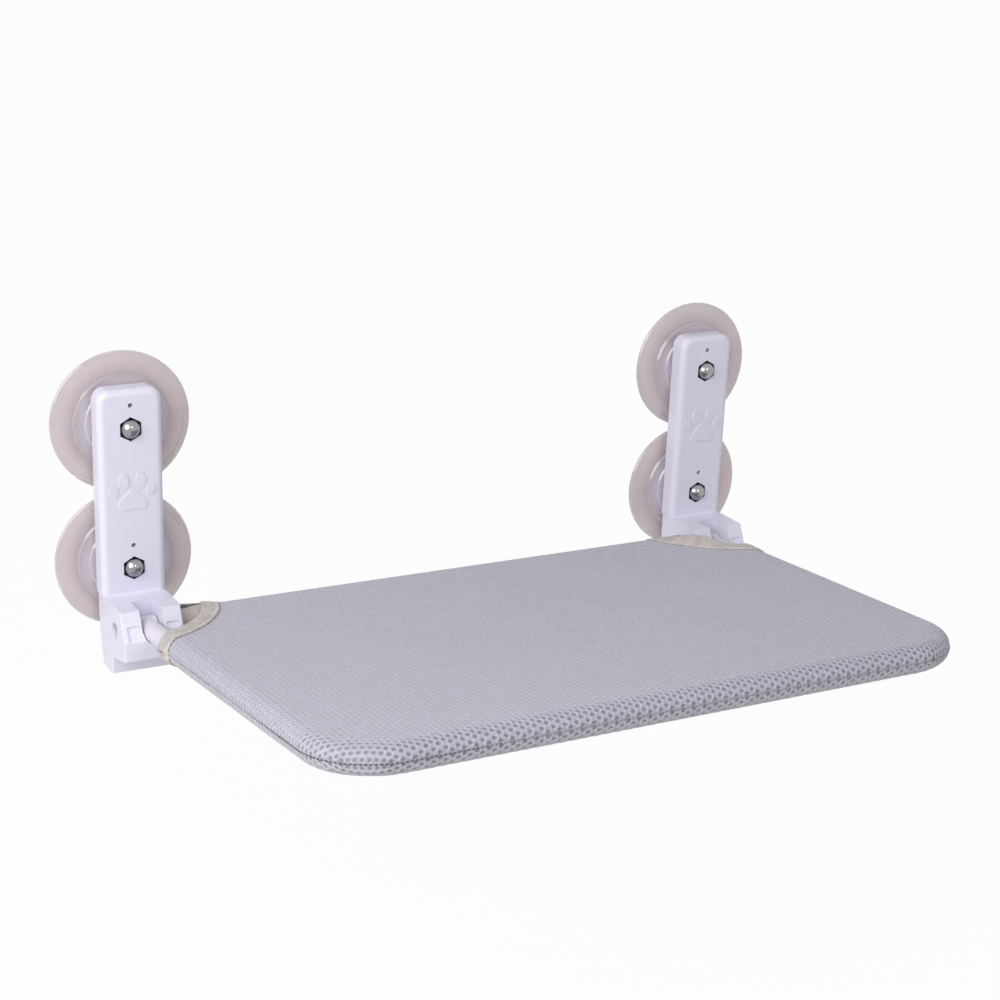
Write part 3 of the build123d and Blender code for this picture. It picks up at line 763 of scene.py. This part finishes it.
# The facing round the rear bar on the left side: its ends along X, its first and last turn and
# where it starts to stand off, its radius inside and its thickness. It flares towards the
# binding, and its loose end stands off by a height that waves, in full on the left side only.
FACING_FROM, FACING_TO = -189.2, -167.0
FACING_START, FACING_LOOSE, FACING_END = (math.radians(a) for a in (82, 300, 412))
FACING_R = 7.05
FACING_T = 0.8
FACING_FLARE = 1.3
FACING_FLAP, FACING_FLAP_WAVE = 3.0, 1.0
FACING_SLACK = {-1: 1.0, 1: 0.35}
FACING_STATIONS, FACING_AROUND = 30, 54

# The free edge of each top binding stands up on a stretch: its middle, half its length and the
# height
STANDING = {-1: (-2.0, 20.0, 2.6), 1: (-28.0, 28.0, 6.0)}


def facing(slack):
    """Cloth of the binding round the rear bar, up to the bracket, its loose end standing off."""
    xs = np.linspace(FACING_FROM, FACING_TO, FACING_STATIONS)
    turns = np.linspace(FACING_START, FACING_END, FACING_AROUND)
    x, a = np.meshgrid(xs, turns, indexing="ij")
    loose = np.clip((a - FACING_LOOSE) / (FACING_END - FACING_LOOSE), 0, 1) ** 1.5
    near = np.clip((FACING_TO - x) / (FACING_TO - FACING_FROM), 0, 1)
    crease = near * (0.28 * np.sin(x / 1.9 + 1.4 * np.sin(a * 1.5))
                     + 0.2 * np.sin(x / 4.3 + a * 3.0))
    flap = slack * loose * (FACING_FLAP + FACING_FLAP_WAVE * np.sin(x / 5.0)) * near ** 0.5
    inner = FACING_R + crease + FACING_FLARE * (1 - near) ** 2 + flap
    inside, outside = (to_part(x, r * np.cos(a), r * np.sin(a)) for r in (inner, inner + FACING_T))
    ring = np.concatenate([outside, inside[:, ::-1]], axis=1)
    loop = FACING_AROUND * 2
    faces = tube_faces(FACING_STATIONS, loop)[:-2]
    # the inner faces take the dark painted shade
    slots = [INSIDE_SHADE if i % loop >= FACING_AROUND else WEAVE for i in range(len(faces))]
    for i in (0, (FACING_STATIONS - 1) * loop):
        for j in range(FACING_AROUND - 1):
            faces.append((i + j, i + j + 1, i + loop - 2 - j, i + loop - 1 - j))
            slots.append(WEAVE)
    return ring.reshape(-1, 3), faces, slots


def raised(q, middle, half, height):
    """A smooth hump along the cut, by the place along Y."""
    return height * np.cos(np.clip((q - middle) / half, -1, 1) * math.pi / 2) ** 2


soft_pieces = {1: [], -1: []}
for panel_side, label, line in ((1, "top", top_line), (-1, "bottom", bottom_line)):
    normals = line_normals(line)
    for hand, word in ((-1, "left"), (1, "right")):
        rise = raised(line[:, 1], *STANDING[hand]) if panel_side > 0 else 0.0
        verts, faces = band_mesh(line, normals, TAPE, panel_side, pucker=0.4, rise=rise,
                                 widen=0.35)
        slots = [FOLD if i % len(TAPE) < FOLD_FACES else WEAVE for i in range(len(faces))]
        if panel_side > 0:
            more_verts, more_faces, more_slots = facing(FACING_SLACK[hand])
            faces += [tuple(v + len(verts) for v in face) for face in more_faces]
            slots += more_slots
            verts = np.concatenate([verts, more_verts])
        piece = new_piece(f"binding_{label}_{word}", verts if hand < 0 else mirrored(verts),
                          faces, [binding, facing_inside_painted_shade, fold], slots)
        face_outward(piece)
        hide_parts(f"corner_binding_{label}_{word}")
        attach(piece, "hammock")
        soft_pieces[panel_side].append(piece)

        inset = line - normals * STITCH_INSET
        verts, faces = beads(cover(inset[:, 0], inset[:, 1], STITCH_LIFT, panel_side),
                             length=0.0025, radius=0.00024, pitch=0.003)
        piece = new_piece(f"stitches_{label}_{word}", verts if hand < 0 else mirrored(verts),
                          faces, [thread])
        face_outward(piece)
        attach(piece, "hammock")
        soft_pieces[panel_side].append(piece)

# Hems across the tail of the top panel and the rear end of the bottom panel


def hem(name, q, half, side):
    """A folded edge straight across a panel."""
    line = np.stack([np.linspace(-half, half, HEM_STATIONS), np.full(HEM_STATIONS, q)], axis=-1)
    towards_rear = np.tile([0.0, 1.0], (HEM_STATIONS, 1))
    verts, faces = band_mesh(line, towards_rear, HEM, side, pucker=0.12)
    piece = face_outward(new_piece(name, verts, faces, [binding]))
    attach(piece, "hammock")
    soft_pieces[side].append(piece)


hem("hem_tail", WRAP_LENGTH + TAIL - HEM_HALF, -float(cut_x(-TAIL)) - HEM_INSET, 1)
hem("hem_bottom", -HEM_HALF - HEM_GAP, -float(cut_x(0)) - HEM_INSET, -1)

# Seam round the outside

SEAM_STEPS = {"arm": 260, "bend": 50, "bar": 170, "whole": 620}


def seam_path(radius, z):
    """Points round the outside of the roll at one level, from one corner cut to the other."""
    half = []
    reach = math.hypot(TOE_IN, ARM_REACH)
    for share in np.linspace(CUT_ARM / reach, 1.0, SEAM_STEPS["arm"]):
        point = np.array([ARM_X, 0.0]) + ALONG * share * reach
        if (point - CENTRE) @ ALONG > 0:
            break
        half.append(point + OUT * radius)
    first = math.atan2(OUT[1], OUT[0])
    for turn in np.linspace(first, -math.pi / 2, SEAM_STEPS["bend"])[1:]:
        half.append(CENTRE + np.array([math.cos(turn), math.sin(turn)]) * (BEND + radius))
    for x in np.linspace(CENTRE[0], 0, SEAM_STEPS["bar"])[1:]:
        half.append(np.array([x, -ARM_REACH - radius]))
    half = np.array(half)
    whole = np.concatenate([half, (half * np.array([-1.0, 1.0]))[::-1][1:]])
    whole = resample(whole, count=SEAM_STEPS["whole"])
    return to_part(whole[:, 0], whole[:, 1], np.full(len(whole), z))


# Profile of the tape in the groove between the panels, with rounded edges: radii and levels
RIBBON = [(6.9, -0.15), (8.5, -0.18), (8.7, -0.12), (8.76, 0.0), (8.7, 0.12), (8.5, 0.18),
          (6.9, 0.15)]
rings = np.stack([seam_path(radius, z) for radius, z in RIBBON], axis=1)
ribbon = face_outward(new_piece("edge_tape", rings.reshape(-1, 3), tube_faces(*rings.shape[:2]),
                                [tape]))
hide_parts("edge_seam_tape")
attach(ribbon, "hammock")
soft_pieces[1].append(ribbon)

# The seam thread shows round the left front corner, and is drawn into the groove elsewhere
THREAD_R, DRAWN_IN_R = 8.85, 8.3
SHOWS_TO, FADES_OVER = 0.05, 0.05  # in metres from the corner
showing, drawn_in = seam_path(THREAD_R, 0.0), seam_path(DRAWN_IN_R, 0.0)
corner = showing[np.argmin(showing[:, 0] + showing[:, 1])]
from_corner = np.linalg.norm(showing - corner, axis=1)
sunk = np.clip((from_corner - SHOWS_TO) / FADES_OVER, 0, 1)[:, None]
# The dashes' very dark colour is partly the thread and partly painted shade of the needle holes
verts, faces = beads(showing + (drawn_in - showing) * sunk,
                     length=0.0017, radius=0.0005, pitch=0.0027)
seam_stitches = face_outward(new_piece("edge_stitches", verts, faces, [dark_thread_and_shade]))
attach(seam_stitches, "hammock")
soft_pieces[1].append(seam_stitches)

# Touch fastener between the tail and the bottom panel

STRIP_STATIONS = 120
STRIP_PROFILE = [(0.4, 0.0), (0.0, -0.2), (0.0, -STRIP_T + 0.1), (0.4, -STRIP_T),
                 (STRIP_WIDTH - 0.4, -STRIP_T), (STRIP_WIDTH, -STRIP_T + 0.1),
                 (STRIP_WIDTH, -0.2), (STRIP_WIDTH - 0.4, 0.0), (STRIP_WIDTH / 2, 0.0)]


def strip(name, layer, node, finish):
    """A strip of the fastener, under the bottom panel by so many layers."""
    half = ARM_X - CUT_BAR - BAND
    top = -NET_R - STRIP_T * layer
    xs = np.linspace(-half, half, STRIP_STATIONS)
    rings = np.stack([to_part(xs, np.full(STRIP_STATIONS, -STRIP_START - a),
                              np.full(STRIP_STATIONS, top + b)) for a, b in STRIP_PROFILE], axis=1)
    faces = tube_faces(*rings.shape[:2])
    piece = face_outward(new_piece(name, rings.reshape(-1, 3), faces, [finish], smooth=False))
    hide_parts(node)
    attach(piece, "hammock")
    return piece


loop_strip = strip("closure_loops", 0, "closure_loop_strip", loop_pile)
hook_strip = strip("closure_hooks", 1, "closure_hook_strip", hook_pile)
soft_pieces[-1].append(loop_strip)
soft_pieces[1].append(hook_strip)

for panel, node, slot_name in ((top_panel, "cover_top_panel", "air_mesh"),
                               (bottom_panel, "cover_bottom_panel", "lining_fabric")):
    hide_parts(node)
    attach(panel, "hammock")

# Floor, background and light

scene = bpy.context.scene
scene.view_settings.view_transform = "Standard"


def ray_kinds(nodes, links):
    """1 for camera, glossy and transmission rays, and 0 for those that light the object."""
    path = nodes.new("ShaderNodeLightPath")
    total = path.outputs["Is Camera Ray"]
    for kind in ("Is Glossy Ray", "Is Transmission Ray"):
        add = nodes.new("ShaderNodeMath")
        add.operation = "ADD"
        add.use_clamp = True
        links.new(total, add.inputs[0])
        links.new(path.outputs[kind], add.inputs[1])
        total = add.outputs[0]
    return total


FILL = 0.43  # strength of the light from all round
world = bpy.data.worlds.new("studio")
scene.world = world
world.use_nodes = True
wn, wl = world.node_tree.nodes, world.node_tree.links
wn.clear()
fill = wn.new("ShaderNodeBackground")
fill.inputs["Color"].default_value = (0.97, 0.97, 1.0, 1.0)
fill.inputs["Strength"].default_value = FILL
white = wn.new("ShaderNodeBackground")
white.inputs["Color"].default_value = (1.0, 1.0, 1.0, 1.0)
white.inputs["Strength"].default_value = 1.0
mix = wn.new("ShaderNodeMixShader")
output = wn.new("ShaderNodeOutputWorld")
wl.new(ray_kinds(wn, wl), mix.inputs["Fac"])
wl.new(fill.outputs[0], mix.inputs[1])
wl.new(white.outputs[0], mix.inputs[2])
wl.new(mix.outputs[0], output.inputs["Surface"])

FLOOR_Z = -0.34
FLOOR_HALF = 45  # metres, so that its edge is far behind the picture
FLOOR_WHITE = 0.955  # share of plain white in the floor, which leaves the rest for shadows
floor_mesh = bpy.data.meshes.new("floor")
floor_mesh.from_pydata([(x * FLOOR_HALF, y * FLOOR_HALF, FLOOR_Z)
                        for x, y in ((-1, -1), (1, -1), (1, 1), (-1, 1))], [], [(0, 1, 2, 3)])
floor = bpy.data.objects.new("floor", floor_mesh)
scene.collection.objects.link(floor)
paper, pn, pl, paper_shader = material("floor_paper", (0.88, 0.88, 0.88), 0.9)
glow = pn.new("ShaderNodeEmission")
glow.inputs["Strength"].default_value = 1.0
floor_mix = pn.new("ShaderNodeMixShader")
pl.new(combined(pn, pl, "MULTIPLY", ray_kinds(pn, pl), FLOOR_WHITE), floor_mix.inputs["Fac"])
pl.new(paper_shader.outputs["BSDF"], floor_mix.inputs[1])
pl.new(glow.outputs[0], floor_mix.inputs[2])
pl.new(floor_mix.outputs[0], pn["Material Output"].inputs["Surface"])
floor_mesh.materials.append(paper)


def lamp(name, place, target, size, power):
    """A round soft lamp, in metres and watts."""
    data = bpy.data.lights.new(name, "AREA")
    data.shape = "DISK"
    data.size = size
    data.energy = power
    data.color = (1.0, 0.99, 1.0)
    light = bpy.data.objects.new(name, data)
    light.location = place
    light.rotation_euler = (Vector(target) - Vector(place)).to_track_quat("-Z", "Y").to_euler()
    scene.collection.objects.link(light)


lamp("key", (-1.0, -0.6, 0.62), (-0.05, -0.10, -0.04), size=1.1, power=11.2)
lamp("front", (0.1, -1.9, 1.1), (0.0, -0.1, -0.03), size=0.5, power=5.5)

# Camera of the photograph, as it was fitted to it

CAMERA_AT = (-0.56772, -1.14751, 0.38953)
AZIMUTH, ELEVATION, ROLL = (math.radians(a) for a in (-28.76, 19.89, 2.33))
back = Vector((math.sin(AZIMUTH) * math.cos(ELEVATION),
               -math.cos(AZIMUTH) * math.cos(ELEVATION), math.sin(ELEVATION)))
right = (-back).cross(Vector((0, 0, 1))).normalized()
up = right.cross(-back)
right_rolled = right * math.cos(ROLL) + up * math.sin(ROLL)
up_rolled = up * math.cos(ROLL) - right * math.sin(ROLL)
turn = Matrix((right_rolled, up_rolled, back)).transposed().to_4x4()
lens = bpy.data.cameras.new("camera")
lens.sensor_width = 36.0
lens.lens = 71.27
lens.shift_y = 0.06
lens.clip_end = 150.0
camera = bpy.data.objects.new("camera", lens)
camera.matrix_world = Matrix.Translation(CAMERA_AT) @ turn
scene.collection.objects.link(camera)
scene.camera = camera
